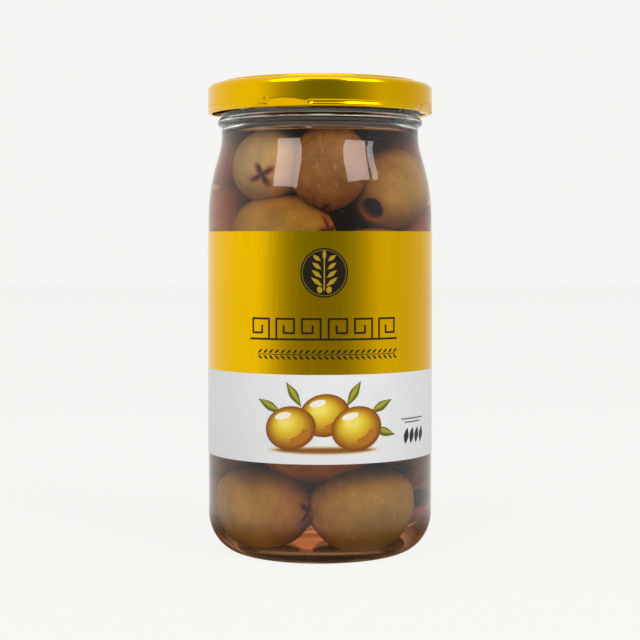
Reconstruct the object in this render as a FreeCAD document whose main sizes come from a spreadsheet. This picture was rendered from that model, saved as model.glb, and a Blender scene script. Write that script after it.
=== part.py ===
import FreeCAD, Part
import math
import os
import re
import Sketcher

# A jar of olives, in millimetres: a blown glass jar with a twist-off lid, a wrap-round paper
# label, pitted olives and the brine that covers them. +Z is up, the middle of the label faces
# -Y, and the origin is the middle of the ring that the jar stands on.

SIZES = {
    # glass jar, outside
    "body_radius": 33.1,
    "heel_round": 11.0,
    "shoulder_height": 107.0,
    "shoulder_rise": 13.1,
    "neck_radius": 29.1,
    "neck_length": 6.5,
    "bead_reach": 1.25,
    "bead_width": 3.0,
    "finish_length": 9.8,
    "finish_step": 0.4,
    "rim_round": 0.8,
    # glass jar, inside and underneath
    "wall": 2.35,
    "base_thickness": 4.4,
    "push_up_radius": 20.4,
    "push_up_depth": 1.8,
    "push_up_slope": 4.0,
    # the short threads that the lid's lugs run under
    "thread_reach": 1.6,
    "thread_width": 1.8,
    "thread_drop": 5.0,
    "thread_span": 52.0,
    "thread_turn": 40.0,
    # twist-off lid
    "lid_sheet": 0.3,
    "skirt_clearance": 1.8,
    "lid_shoulder_round": 1.6,
    "lining_thickness": 1.0,
    "lining_width": 5.0,
    "lining_overhang": 0.9,
    "skirt_length": 8.3,
    "ring_inset": 3.8,
    "ring_width": 3.6,
    "ring_rise": 0.9,
    "panel_drop": 0.5,
    "button_radius": 11.0,
    "button_rise": 0.4,
    "curl_size": 1.3,
    "lug_clearance": 0.5,
    "lug_thickness": 1.1,
    "lug_span": 22.0,
    "lug_turn": -106.0,
    # label
    "label_thickness": 0.15,
    "label_bottom": 29.5,
    "label_height": 65.0,
    "label_gap": 8.0,
    # olives and brine
    "olive_length": 30.0,
    "olive_width": 24.6,
    "olive_end_share": 0.86,
    "olive_tilt": 38.0,
    "olive_clearance": 0.3,
    "brine_clearance": 0.05,
    "head_space": 13.2,
}
LUGS = 4

# Heights and radii that follow from the sizes, as expressions in their names.
NECK_START = "(shoulder_height + shoulder_rise)"
BEAD_MIDDLE = f"({NECK_START} + neck_length)"
RIM = f"({BEAD_MIDDLE} + finish_length)"
INNER_RADIUS = "(body_radius - wall)"
BORE_RADIUS = "(neck_radius - wall)"
FINISH_RADIUS = "(neck_radius + finish_step)"
THREAD_RADIUS = f"({FINISH_RADIUS} + thread_reach)"
BRINE_LEVEL = f"({RIM} - head_space)"
SKIRT_RADIUS = f"({THREAD_RADIUS} + skirt_clearance)"
LID_RADIUS = f"({SKIRT_RADIUS} + lid_sheet)"
LID_UNDERSIDE = f"({RIM} + lining_thickness)"
LID_SHOULDER = f"({LID_UNDERSIDE} + lid_sheet)"
LID_BOTTOM = f"({LID_UNDERSIDE} - skirt_length)"
LUG_TIP = f"({FINISH_RADIUS} + lug_clearance)"

# The shoulder is a cone whose two corners are rounded into one S-shaped sweep: the upper
# body's round takes most of the slope, the neck's round takes what is left.
SLOPE_TURN = "atan((body_radius - neck_radius) / shoulder_rise)"
SLOPE_LENGTH = "sqrt((body_radius - neck_radius) ^ 2 + shoulder_rise ^ 2)"
SHOULDER_SHARE = 0.62
NECK_SHARE = 0.20
SHOULDER_ROUND = f"({SHOULDER_SHARE} * {SLOPE_LENGTH} / tan({SLOPE_TURN} / 2))"
NECK_ROUND = f"({NECK_SHARE} * {SLOPE_LENGTH} / tan({SLOPE_TURN} / 2))"

doc = FreeCAD.newDocument("jar_of_olives")


def make_sheet():
    """The driving dimensions, one named cell each."""
    sheet = doc.addObject("Spreadsheet::Sheet", "Sizes")
    for row, (name, size) in enumerate(SIZES.items(), start=1):
        sheet.set(f"A{row}", name)
        sheet.set(f"B{row}", str(size))
        sheet.setAlias(f"B{row}", name)
    doc.recompute()
    return sheet


sheet = make_sheet()


def bound(expression):
    """The expression with each size's name pointing into the sheet."""
    return re.sub(r"[a-z]\w+", lambda word: prefixed(word.group()), str(expression))


def prefixed(word):
    return f"Sizes.{word}" if word in SIZES else word


def value(expression):
    """What an expression comes to, as a plain number."""
    result = sheet.evalExpression(bound(expression))
    return float(getattr(result, "Value", result))


def body_named(name):
    body = doc.addObject("PartDesign::Body", name)
    body.Label = name
    return body


def origin_part(body, role):
    return next(part for part in body.Origin.OriginFeatures if part.Role == role)


def sketch_on_section(body, name):
    """An empty sketch in the plane through the jar's axis: x is radius, y is height."""
    sketch = body.newObject("Sketcher::SketchObject", name)
    sketch.AttachmentSupport = [(origin_part(body, "XZ_Plane"), "")]
    sketch.MapMode = "FlatFace"
    return sketch


def pin_point(sketch, line, radius, height):
    """Ties the start of a line to a radius and a height."""
    axes = (("DistanceX", radius, -2), ("DistanceY", height, -1))
    for kind, expression, axis in axes:
        if abs(value(expression)) < 1e-9:
            sketch.addConstraint(Sketcher.Constraint("PointOnObject", line, 1, axis))
        else:
            datum = Sketcher.Constraint(kind, -1, 1, line, 1, value(expression))
            index = sketch.addConstraint(datum)
            sketch.setExpression(f"Constraints[{index}]", bound(expression))


def outline(body, name, corners):
    """A closed outline of straight lines through (radius, height) corners."""
    sketch = sketch_on_section(body, name)
    points = [FreeCAD.Vector(value(radius), value(height), 0) for radius, height in corners]
    for start, end in zip(points, points[1:] + points[:1]):
        sketch.addGeometry(Part.LineSegment(start, end), False)
    for line in range(len(points)):
        following = (line + 1) % len(points)
        sketch.addConstraint(Sketcher.Constraint("Coincident", line, 2, following, 1))
    for line, (radius, height) in enumerate(corners):
        pin_point(sketch, line, radius, height)
    return sketch


def round_section(body, name, radius, height, size):
    """A circle of the given diameter, for a ring of round section."""
    sketch = sketch_on_section(body, name)
    middle = FreeCAD.Vector(value(radius), value(height), 0)
    circle = Part.Circle(middle, FreeCAD.Vector(0, 0, 1), value(size) / 2)
    sketch.addGeometry(circle, False)
    places = ((("DistanceX", -1, 1, 0, 3), radius), (("DistanceY", -1, 1, 0, 3), height))
    for place, expression in places:
        index = sketch.addConstraint(Sketcher.Constraint(*place, value(expression)))
        sketch.setExpression(f"Constraints[{index}]", bound(expression))
    index = sketch.addConstraint(Sketcher.Constraint("Diameter", 0, value(size)))
    sketch.setExpression(f"Constraints[{index}]", bound(size))
    return sketch


def revolve(body, name, sketch, kind="Revolution", span=None):
    """Spins a sketch about the jar's axis; a span is centred on the sketch's plane."""
    feature = body.newObject(f"PartDesign::{kind}", name)
    feature.Profile = sketch
    feature.ReferenceAxis = (sketch, ["V_Axis"])
    if span is None:
        feature.Angle = 360
    else:
        feature.Midplane = True
        feature.setExpression("Angle", bound(span))
    doc.recompute()
    return feature


def repeat_round(body, name, feature, count):
    """Repeats a feature evenly round the jar's axis."""
    pattern = body.newObject("PartDesign::PolarPattern", name)
    pattern.Originals = [feature]
    pattern.Axis = (origin_part(body, "Z_Axis"), [""])
    pattern.Angle = 360
    pattern.Occurrences = count
    body.Tip = pattern
    doc.recompute()
    return pattern


def edges_at(shape, radius, height):
    """Names of the round edges that lie at a radius and a height."""
    found = []
    for index, edge in enumerate(shape.Edges, start=1):
        if isinstance(edge.Curve, Part.Circle):
            near = abs(edge.Curve.Radius - value(radius)) < 1e-4
            level = abs(edge.Curve.Center.z - value(height)) < 1e-4
            if near and level and abs(edge.Curve.Axis.z) > 0.99:
                found.append(f"Edge{index}")
    return found


def round_corner(body, name, radius, height, size):
    """Rounds the edge at a radius and a height."""
    base = body.Tip
    names = edges_at(base.Shape, radius, height)
    if not names:
        raise RuntimeError(f"{name}: no edge to round")
    fillet = body.newObject("PartDesign::Fillet", name)
    fillet.Base = (base, names)
    fillet.setExpression("Radius", bound(size))
    doc.recompute()
    return fillet


def turn(thing, angle):
    """Turns a sub-part about the jar's axis."""
    thing.Placement.Rotation = FreeCAD.Rotation(FreeCAD.Vector(0, 0, 1), 1.0)
    thing.setExpression("Placement.Rotation.Angle", bound(angle))
    doc.recompute()


def cavity_corners(gap, top):
    """The jar's inner outline, held back from the glass by a gap, up to a height."""
    return [
        (0, f"base_thickness + {gap}"),
        (f"{INNER_RADIUS} - {gap}", f"base_thickness + {gap}"),
        (f"{INNER_RADIUS} - {gap}", "shoulder_height"),
        (f"{BORE_RADIUS} - {gap}", NECK_START),
        (f"{BORE_RADIUS} - {gap}", top),
        (0, top),
    ]


def round_cavity(body, name, gap):
    """Rounds the corners of the inner outline, each concentric with the one outside."""
    wide = f"{INNER_RADIUS} - {gap}"
    narrow = f"{BORE_RADIUS} - {gap}"
    floor = f"base_thickness + {gap}"
    round_corner(body, f"{name}Heel", wide, floor, f"heel_round - wall - {gap}")
    shoulder_size = f"{SHOULDER_ROUND} - wall - {gap}"
    round_corner(body, f"{name}Shoulder", wide, "shoulder_height", shoulder_size)
    round_corner(body, f"{name}Neck", narrow, NECK_START, NECK_ROUND)


def make_glass_jar():
    """Blown glass: an outer form, hollowed, with a bead, four short threads and a push-up."""
    body = body_named("glass_jar")
    outer = outline(body, "OuterOutline", [
        (0, 0),
        ("body_radius", 0),
        ("body_radius", "shoulder_height"),
        ("neck_radius", NECK_START),
        ("neck_radius", BEAD_MIDDLE),
        (FINISH_RADIUS, BEAD_MIDDLE),
        (FINISH_RADIUS, RIM),
        (0, RIM),
    ])
    revolve(body, "OuterForm", outer)
    round_corner(body, "Heel", "body_radius", 0, "heel_round")
    round_corner(body, "Shoulder", "body_radius", "shoulder_height", SHOULDER_ROUND)
    round_corner(body, "Neck", "neck_radius", NECK_START, NECK_ROUND)

    cavity = outline(body, "CavityOutline", cavity_corners(0, f"{RIM} + wall"))
    revolve(body, "Cavity", cavity, kind="Groove")
    round_cavity(body, "Cavity", 0)
    round_corner(body, "RimOutside", FINISH_RADIUS, RIM, "rim_round")
    round_corner(body, "RimInside", BORE_RADIUS, RIM, "rim_round")

    push_up = outline(body, "PushUpOutline", [
        (0, 0),
        ("push_up_radius", 0),
        ("push_up_radius - push_up_slope", "push_up_depth"),
        (0, "push_up_depth"),
    ])
    revolve(body, "PushUp", push_up, kind="Groove")

    bead_outer = "(neck_radius + bead_reach)"
    bead = outline(body, "BeadOutline", [
        ("neck_radius - wall / 2", f"{BEAD_MIDDLE} - bead_width / 2"),
        ("neck_radius", f"{BEAD_MIDDLE} - bead_width / 2"),
        (bead_outer, f"{BEAD_MIDDLE} - bead_width / 6"),
        (bead_outer, f"{BEAD_MIDDLE} + bead_width / 6"),
        (FINISH_RADIUS, f"{BEAD_MIDDLE} + bead_width / 2"),
        ("neck_radius - wall / 2", f"{BEAD_MIDDLE} + bead_width / 2"),
    ])
    revolve(body, "Bead", bead)

    thread_middle = f"({RIM} - thread_drop)"
    thread_root = f"({FINISH_RADIUS} - wall / 3)"
    thread = outline(body, "ThreadOutline", [
        (thread_root, f"{thread_middle} - thread_width / 2"),
        (FINISH_RADIUS, f"{thread_middle} - thread_width / 2"),
        (THREAD_RADIUS, f"{thread_middle} - thread_width / 4"),
        (THREAD_RADIUS, f"{thread_middle} + thread_width / 4"),
        (FINISH_RADIUS, f"{thread_middle} + thread_width / 2"),
        (thread_root, f"{thread_middle} + thread_width / 2"),
    ])
    thread = revolve(body, "Thread", thread, span="thread_span")
    repeat_round(body, "Threads", thread, LUGS)
    turn(body, "thread_turn")
    return body


def make_lid():
    """Pressed steel: a shoulder, a raised ring round a sunk panel, a curl and four lugs."""
    body = body_named("lid")
    ring_top = f"({LID_SHOULDER} + ring_rise)"
    panel_top = f"({LID_SHOULDER} - panel_drop)"
    button_top = f"({panel_top} + button_rise)"
    ring_outer = f"({LID_RADIUS} - ring_inset)"
    ring_inner = f"({ring_outer} - ring_width)"
    sheet_outline = outline(body, "SheetOutline", [
        (SKIRT_RADIUS, f"{LID_BOTTOM} + curl_size / 2"),
        (LID_RADIUS, f"{LID_BOTTOM} + curl_size / 2"),
        (LID_RADIUS, LID_SHOULDER),
        (ring_outer, LID_SHOULDER),
        (ring_outer, ring_top),
        (ring_inner, ring_top),
        (ring_inner, panel_top),
        ("button_radius", panel_top),
        ("button_radius", button_top),
        (0, button_top),
        (0, f"{button_top} - lid_sheet"),
        ("button_radius - lid_sheet", f"{button_top} - lid_sheet"),
        ("button_radius - lid_sheet", f"{panel_top} - lid_sheet"),
        (f"{ring_inner} + lid_sheet", f"{panel_top} - lid_sheet"),
        (f"{ring_inner} + lid_sheet", f"{ring_top} - lid_sheet"),
        (f"{ring_outer} - lid_sheet", f"{ring_top} - lid_sheet"),
        (f"{ring_outer} - lid_sheet", LID_UNDERSIDE),
        (SKIRT_RADIUS, LID_UNDERSIDE),
    ])
    revolve(body, "Sheet", sheet_outline)
    round_corner(body, "LidShoulder", LID_RADIUS, LID_SHOULDER, "lid_shoulder_round")
    inner_round = "lid_shoulder_round - lid_sheet"
    round_corner(body, "LidShoulderInside", SKIRT_RADIUS, LID_UNDERSIDE, inner_round)
    round_corner(body, "RingOutside", ring_outer, ring_top, "lid_sheet * 2")
    round_corner(body, "RingInside", ring_inner, ring_top, "lid_sheet * 2")

    lining_inner = f"({BORE_RADIUS} - lining_overhang)"
    lining = outline(body, "LiningOutline", [
        (lining_inner, RIM),
        (f"{lining_inner} + lining_width", RIM),
        (f"{lining_inner} + lining_width", f"{LID_UNDERSIDE} + lid_sheet / 2"),
        (lining_inner, f"{LID_UNDERSIDE} + lid_sheet / 2"),
    ])
    revolve(body, "Lining", lining)

    curl_radius = f"{LID_RADIUS} - curl_size / 2"
    curl_height = f"{LID_BOTTOM} + curl_size / 2"
    curl = round_section(body, "CurlSection", curl_radius, curl_height, "curl_size")
    revolve(body, "Curl", curl)

    lug = outline(body, "LugOutline", [
        (LUG_TIP, LID_BOTTOM),
        (curl_radius, LID_BOTTOM),
        (curl_radius, f"{LID_BOTTOM} + lug_thickness"),
        (LUG_TIP, f"{LID_BOTTOM} + lug_thickness"),
    ])
    lug = revolve(body, "Lug", lug, span="lug_span")
    repeat_round(body, "LidLugs", lug, LUGS)
    turn(body, "lug_turn")
    return body


def make_label():
    """Printed paper round the straight wall, with a bare strip left at the back."""
    body = body_named("label")
    outer = "(body_radius + label_thickness)"
    strip = outline(body, "LabelOutline", [
        ("body_radius", "label_bottom"),
        (outer, "label_bottom"),
        (outer, "label_bottom + label_height"),
        ("body_radius", "label_bottom + label_height"),
    ])
    degrees_in_gap = f"label_gap / {outer} * {math.degrees(1)}"
    revolve(body, "Wrap", strip, span=f"360 - {degrees_in_gap}")
    turn(body, -90)
    return body


def olive_form(half_length, half_width):
    """An olive along Z: a barrel-shaped belly that runs smoothly into a ball at each end."""
    end = half_width * value("olive_end_share")
    reach = half_length - end
    belly = (reach ** 2 + half_width ** 2 - end ** 2) / (2 * (half_width - end))
    lean = math.atan2(reach, belly - half_width)
    join = FreeCAD.Vector(end * math.cos(lean), 0, reach + end * math.sin(lean))
    cap = FreeCAD.Vector(end * math.cos((lean + math.pi / 2) / 2), 0,
                         reach + end * math.sin((lean + math.pi / 2) / 2))
    top = FreeCAD.Vector(0, 0, half_length)
    side = FreeCAD.Vector(half_width, 0, 0)
    edges = [
        Part.Arc(top, cap, join).toShape(),
        Part.Arc(join, side, mirrored(join)).toShape(),
        Part.Arc(mirrored(join), mirrored(cap), mirrored(top)).toShape(),
        Part.LineSegment(mirrored(top), top).toShape(),
    ]
    face = Part.Face(Part.Wire(edges))
    return face.revolve(FreeCAD.Vector(), FreeCAD.Vector(0, 0, 1), 360)


def mirrored(point):
    """The point as far below the middle as it was above."""
    return FreeCAD.Vector(point.x, point.y, -point.z)


def make_olive(name, factor, orbit, angle, height, tilt):
    """One olive, its long axis leaning sideways by the tilt, on an orbit round the axis."""
    olive = doc.addObject("Part::Feature", name)
    olive.Shape = olive_form(value("olive_length") / 2 * factor, value("olive_width") / 2 * factor)
    lean = FreeCAD.Rotation(FreeCAD.Vector(1, 0, 0), tilt)
    swing = FreeCAD.Rotation(FreeCAD.Vector(0, 0, 1), angle)
    olive.Placement = FreeCAD.Placement(FreeCAD.Vector(), swing.multiply(lean))
    olive.setExpression("Placement.Base.x", bound(f"({orbit}) * cos({angle} deg)"))
    olive.setExpression("Placement.Base.y", bound(f"({orbit}) * sin({angle} deg)"))
    olive.setExpression("Placement.Base.z", bound(height))
    return olive


def make_olives():
    """The heap out to its uneven outline: tiers of olives round a core that joins them."""
    tilt = value("olive_tilt")
    half_rise = math.hypot(value("olive_length") / 2 * math.cos(math.radians(tilt)),
                           value("olive_width") / 2 * math.sin(math.radians(tilt)))
    lowest = value("base_thickness + olive_clearance") + half_rise
    highest = value(f"{BRINE_LEVEL} - olive_clearance") - half_rise
    orbit = f"{INNER_RADIUS} - olive_clearance - olive_width / 2"
    top_orbit = f"{BORE_RADIUS} - olive_clearance - olive_width / 2"
    around = math.floor(2 * math.pi * value(orbit) / value("olive_width * 1.1"))
    tiers = 1 + math.ceil((highest - lowest) / value("olive_width"))
    step = (highest - lowest) / (tiers - 1)

    pieces = []
    for tier in range(tiers):
        top = tier == tiers - 1
        count = max(around - 1, 1) if top else around
        for place in range(count):
            index = len(pieces)
            factor = 0.97 + 0.03 * math.sin(2.4 * index)
            angle = 360 * (place + 0.5 * (tier % 2)) / count
            side = 1 if tier % 2 else -1
            height = lowest + step * tier
            ring = top_orbit if top else orbit
            pieces.append(make_olive(f"Olive{index}", factor, ring, angle, height, side * tilt))

    core = doc.addObject("Part::Cylinder", "HeapCore")
    core.setExpression("Radius", bound(f"({orbit}) - olive_width / 8"))
    core.Height = highest - lowest
    core.Placement.Base.z = lowest
    heap = doc.addObject("Part::MultiFuse", "olives")
    heap.Label = "olives"
    heap.Shapes = [core] + pieces
    doc.recompute()
    return heap


def make_brine(olives):
    """The liquid, up to its level in the neck, cut round the olives."""
    fill = body_named("brine_fill")
    corners = cavity_corners("brine_clearance", RIM)
    revolve(fill, "Fill", outline(fill, "FillOutline", corners))
    round_cavity(fill, "Fill", "brine_clearance")
    air = outline(fill, "HeadSpaceOutline", [
        (0, BRINE_LEVEL),
        ("body_radius", BRINE_LEVEL),
        ("body_radius", f"{RIM} + wall"),
        (0, f"{RIM} + wall"),
    ])
    revolve(fill, "HeadSpace", air, kind="Groove")
    brine = doc.addObject("Part::Cut", "brine")
    brine.Label = "brine"
    brine.Base = fill
    brine.Tool = olives
    doc.recompute()
    return brine


def check(parts):
    """Stops on anything that failed, before a file is written."""
    for thing in doc.Objects:
        if {"Invalid", "Error"} & set(thing.State):
            raise RuntimeError(f"{thing.Label} failed: {thing.State}")
    for part in parts:
        if part.Shape.isNull() or not part.Shape.isValid():
            raise RuntimeError(f"{part.Label} has no valid shape")


olives = make_olives()
parts = [make_glass_jar(), make_lid(), make_label(), olives, make_brine(olives)]
doc.recompute()
check(parts)
os.makedirs("parts", exist_ok=True)
for part in parts:
    part.Shape.exportStep(os.path.join("parts", f"{part.Label}.step"))
    box = part.Shape.BoundBox
    print(part.Label, len(part.Shape.Solids), "solids", round(part.Shape.Volume), "mm3",
          round(box.ZMin, 2), "to", round(box.ZMax, 2))
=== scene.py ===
import math
import random

import bpy
import numpy as np
from mathutils import Matrix, Vector, noise


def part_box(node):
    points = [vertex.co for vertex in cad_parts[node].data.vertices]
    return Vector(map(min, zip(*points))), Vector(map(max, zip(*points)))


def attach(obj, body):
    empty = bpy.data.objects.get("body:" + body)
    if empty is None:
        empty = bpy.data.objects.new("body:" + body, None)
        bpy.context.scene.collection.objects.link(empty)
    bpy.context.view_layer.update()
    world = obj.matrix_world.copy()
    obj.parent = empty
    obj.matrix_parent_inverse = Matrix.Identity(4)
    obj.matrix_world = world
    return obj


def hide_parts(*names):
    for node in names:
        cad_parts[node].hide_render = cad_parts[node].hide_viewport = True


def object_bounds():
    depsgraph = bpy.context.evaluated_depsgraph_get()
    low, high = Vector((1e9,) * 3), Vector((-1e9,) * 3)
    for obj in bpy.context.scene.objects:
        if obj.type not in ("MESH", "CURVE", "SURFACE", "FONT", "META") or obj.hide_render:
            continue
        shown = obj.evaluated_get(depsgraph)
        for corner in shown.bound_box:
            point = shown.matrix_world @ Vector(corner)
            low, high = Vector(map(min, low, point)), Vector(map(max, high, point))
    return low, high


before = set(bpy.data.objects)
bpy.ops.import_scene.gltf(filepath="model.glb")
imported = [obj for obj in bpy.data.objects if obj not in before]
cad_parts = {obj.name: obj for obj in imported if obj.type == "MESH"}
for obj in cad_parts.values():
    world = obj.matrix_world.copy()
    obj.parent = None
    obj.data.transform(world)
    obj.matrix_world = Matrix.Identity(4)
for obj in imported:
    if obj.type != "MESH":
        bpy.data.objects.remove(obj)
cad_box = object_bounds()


# ---------------------------------------------------------------------------------------------
# View. The jar is seen from straight in front and a little above its middle, from half a metre
# away. Part of the drop to its middle is tilt and part is lens shift, so its sides stay upright.
MM = 0.001
TALL = cad_box[1].z
CAMERA_AWAY = 489.7 * MM
CAMERA_HEIGHT = 0.66 * TALL
CAMERA_TILT = 1.493
CAMERA_SHIFT = -0.055
CAMERA_LENS = 92.6

camera = bpy.data.objects.new("view", bpy.data.cameras.new("view"))
bpy.context.scene.collection.objects.link(camera)
camera.data.lens = CAMERA_LENS
camera.data.sensor_width = 36
camera.data.shift_y = CAMERA_SHIFT
camera.data.clip_start = 0.01
camera.location = (0, -CAMERA_AWAY, CAMERA_HEIGHT)
camera.rotation_euler = (math.radians(90 - CAMERA_TILT), 0, 0)
bpy.context.scene.camera = camera
bpy.context.scene.view_settings.view_transform = "Standard"


# ---------------------------------------------------------------------------------------------
# Room. A pale table and a pale studio round it. A soft box stands in front at the left, one with
# a strip beside it at the right, and one hangs overhead. Between them the studio is dark, which
# is what the foil and the lid show in their middle.
ROOM_PALE = "F6F5F3"
ROOM_DARK_FRONT = 0.17
ROOM_AMBIENT = 0.42
ROOM_GLOOM = (0.95, 1.16, 0.9, 1)
TABLE_SIZE = 6.0
TABLE_SHADE_SHARE = 0.10
TABLE_GLOW = 1.045
TABLE_WHITE = "F2F1EF"
# Brown painted shadow on the table round the jar's foot, tinted like light through the brine.
TABLE_PAINTED_BRINE_SHADOW = "B48E70"


def linear(hex_code):
    """An sRGB hex colour as the linear colour that shaders take."""
    parts = [int(hex_code[i:i + 2], 16) / 255 for i in (0, 2, 4)]
    curve = [c / 12.92 if c <= 0.04045 else ((c + 0.055) / 1.055) ** 2.4 for c in parts]
    return (*curve, 1.0)


def add(tree, kind, inputs=None, **settings):
    """Adds a node with its settings; an input is a value, or a socket to link from."""
    made = tree.nodes.new(kind)
    for name, setting in settings.items():
        setattr(made, name, setting)
    for name, given in (inputs or {}).items():
        if isinstance(given, bpy.types.NodeSocket):
            tree.links.new(given, made.inputs[name])
        else:
            made.inputs[name].default_value = given
    return made


def material(name):
    """An empty material: its tree and its output node."""
    made = bpy.data.materials.new(name)
    made.use_nodes = True
    made.node_tree.nodes.clear()
    return made, made.node_tree, add(made.node_tree, "ShaderNodeOutputMaterial")


def front_fall(tree, way):
    """How bright the room is in a direction: dark in front, pale at the sides and the back."""
    ways = add(tree, "ShaderNodeSeparateXYZ", {0: way})
    deep = add(tree, "ShaderNodeMapRange", {"Value": ways.outputs["Y"], "From Min": -1.05,
                                            "From Max": -0.35, "To Min": ROOM_DARK_FRONT,
                                            "To Max": 1.0}, interpolation_type="SMOOTHSTEP")
    right = add(tree, "ShaderNodeMapRange", {"Value": ways.outputs["X"], "To Min": 1.0,
                                             "To Max": 0.7})
    return add(tree, "ShaderNodeMath", {0: deep.outputs[0], 1: right.outputs[0]},
               operation="MULTIPLY").outputs[0]


def make_table():
    """A pale matt table, lit evenly, that keeps a tenth of the jar's shadow.

    Glass and metal see the dark front of the room on it. Close to the jar its matt colour, as
    mirrors and bounced light see it, is a brown painted shadow tinted like light through the brine."""
    bpy.ops.object.select_all(action="DESELECT")
    bpy.ops.mesh.primitive_plane_add(size=TABLE_SIZE, location=(0, 0, -0.05 * MM))
    table = bpy.context.object
    table.name = "table"
    made, tree, out = material("pale matt table top")
    path = add(tree, "ShaderNodeLightPath")
    spot = add(tree, "ShaderNodeTexCoord").outputs["Object"]
    away = add(tree, "ShaderNodeVectorMath", {0: spot}, operation="LENGTH")
    clear = add(tree, "ShaderNodeMapRange", {"Value": away.outputs["Value"],
                                             "From Min": 42 * MM, "From Max": 95 * MM,
                                             "To Max": 0.92})
    way = add(tree, "ShaderNodeVectorMath", {0: spot}, operation="NORMALIZE").outputs[0]
    shown = add(tree, "ShaderNodeMath", {0: clear.outputs[0],
                                         1: path.outputs["Is Glossy Ray"]}, operation="MULTIPLY")
    share = add(tree, "ShaderNodeMix", {"Factor": path.outputs["Is Camera Ray"],
                                        "A": shown.outputs[0], "B": 1 - TABLE_SHADE_SHARE})
    near = add(tree, "ShaderNodeMapRange", {"Value": away.outputs["Value"], "From Min": 0.22,
                                            "From Max": 0.5, "To Min": 1.0, "To Max": 0.0})
    front = add(tree, "ShaderNodeMath", {0: front_fall(tree, way), 1: near.outputs[0]},
                operation="MAXIMUM")
    level = add(tree, "ShaderNodeMix", {"Factor": path.outputs["Is Camera Ray"],
                                        "A": front.outputs[0], "B": TABLE_GLOW})
    # Painted shadow: near the jar's foot, the matt colour that mirrors and bounced light see turns
    # brown.
    foot = add(tree, "ShaderNodeMapRange", {"Value": away.outputs["Value"], "From Min": 40 * MM,
                                            "From Max": 110 * MM})
    clear_of_painted_shadow = add(tree, "ShaderNodeMath", {0: foot.outputs[0],
                                              1: path.outputs["Is Camera Ray"]},
                     operation="MAXIMUM")
    painted_brine_shadow = add(tree, "ShaderNodeMix", {"Factor": clear_of_painted_shadow.outputs[0],
                                       "A": linear(TABLE_PAINTED_BRINE_SHADOW),
                                       "B": linear(TABLE_WHITE)}, data_type="RGBA")
    matt = add(tree, "ShaderNodeBsdfDiffuse", {"Color": painted_brine_shadow.outputs["Result"]})
    glow = add(tree, "ShaderNodeEmission", {"Color": linear(ROOM_PALE), "Strength": level.outputs[0]})
    mix = add(tree, "ShaderNodeMixShader", {0: share.outputs[0], 1: matt.outputs[0],
                                            2: glow.outputs[0]})
    tree.links.new(mix.outputs[0], out.inputs["Surface"])
    table.data.materials.append(made)


def make_studio():
    """The pale room: plain white to the eye, dark in front to mirrors, even as a light."""
    world = bpy.data.worlds.new("studio")
    bpy.context.scene.world = world
    world.use_nodes = True
    tree = world.node_tree
    tree.nodes.clear()
    out = add(tree, "ShaderNodeOutputWorld")
    path = add(tree, "ShaderNodeLightPath")
    way = add(tree, "ShaderNodeTexCoord").outputs["Generated"]
    soft = add(tree, "ShaderNodeMix", {"Factor": path.outputs["Is Glossy Ray"],
                                       "A": ROOM_AMBIENT, "B": front_fall(tree, way)})
    level = add(tree, "ShaderNodeMix", {"Factor": path.outputs["Is Camera Ray"],
                                        "A": soft.outputs[0], "B": 1.0})
    gloom = add(tree, "ShaderNodeMapRange", {"Value": level.outputs[0], "From Min": 0.15,
                                             "From Max": ROOM_AMBIENT})
    hue = add(tree, "ShaderNodeMix", {"Factor": gloom.outputs[0], "A": ROOM_GLOOM,
                                      "B": linear(ROOM_PALE)}, data_type="RGBA")
    light = add(tree, "ShaderNodeBackground", {"Color": hue.outputs["Result"],
                                               "Strength": level.outputs[0]})
    tree.links.new(light.outputs[0], out.inputs["Surface"])


def hang_soft_box(name, azimuth, elevation, away, width, height, radiance):
    """A lamp panel that faces the jar's shoulder; azimuth 0 is in front, 90 on the right."""
    lamp = bpy.data.lights.new(name, "AREA")
    lamp.shape = "RECTANGLE"
    lamp.size, lamp.size_y = width, height
    lamp.energy = radiance * width * height * math.pi
    lamp.color = (1.0, 0.985, 0.965)
    box = bpy.data.objects.new(name, lamp)
    bpy.context.scene.collection.objects.link(box)
    aim = Vector((0, 0, 0.75 * TALL))
    side, up = math.radians(azimuth), math.radians(elevation)
    way = Vector((math.sin(side) * math.cos(up), -math.cos(side) * math.cos(up), math.sin(up)))
    box.location = aim + way * away
    box.rotation_euler = way.to_track_quat("Z", "Y").to_euler()


make_table()
make_studio()
hang_soft_box("soft box left", -37, 29, 1.2, 0.54, 0.46, 5.5)
hang_soft_box("soft box right", 42, 33, 1.2, 0.50, 0.50, 5.5)
hang_soft_box("soft box right strip", 61.5, 32, 1.2, 0.14, 0.50, 5.0)
hang_soft_box("soft box above", 0, 66, 1.3, 1.3, 0.5, 1.3)


# ---------------------------------------------------------------------------------------------
# Glass jar. Clear flint glass, blown in a mould: a straight wall, a wide soft heel, a bearing
# ring round a pushed-up base, a sloping shoulder, a bead for the tongs, and four short threads
# that climb a little, for the lid's lugs.
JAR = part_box("glass_jar")
BODY = 33.09 * MM
WALL = 2.35 * MM
NECK = 29.1 * MM
HEEL_WIDE, HEEL_TALL = 10.0 * MM, 12.0 * MM
FLOOR = 4.4 * MM
SHOULDER_FOOT = 98.3 * MM
SHOULDER_TOP = 122.9 * MM
BEAD_HEIGHT = 126.6 * MM
BEAD_REACH = 1.25 * MM
FINISH = 29.5 * MM
RIM = JAR[1].z
THREAD_REACH = 1.6 * MM
THREAD_CLIMB = 1.9 * MM
THREAD_HALF = 1.0 * MM
THREAD_MIDDLE = 131.6 * MM
THREAD_FOOT, THREAD_TOP, THREAD_ROW = 129.2, 135.4, 0.3
AROUND = 192


def arc(middle, radii, start, end, steps):
    """Points of an elliptical arc in the section plane, from one angle to another."""
    angles = [math.radians(start + (end - start) * i / steps) for i in range(steps + 1)]
    return [(middle[0] + radii[0] * math.cos(a), middle[1] + radii[1] * math.sin(a))
            for a in angles]


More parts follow.
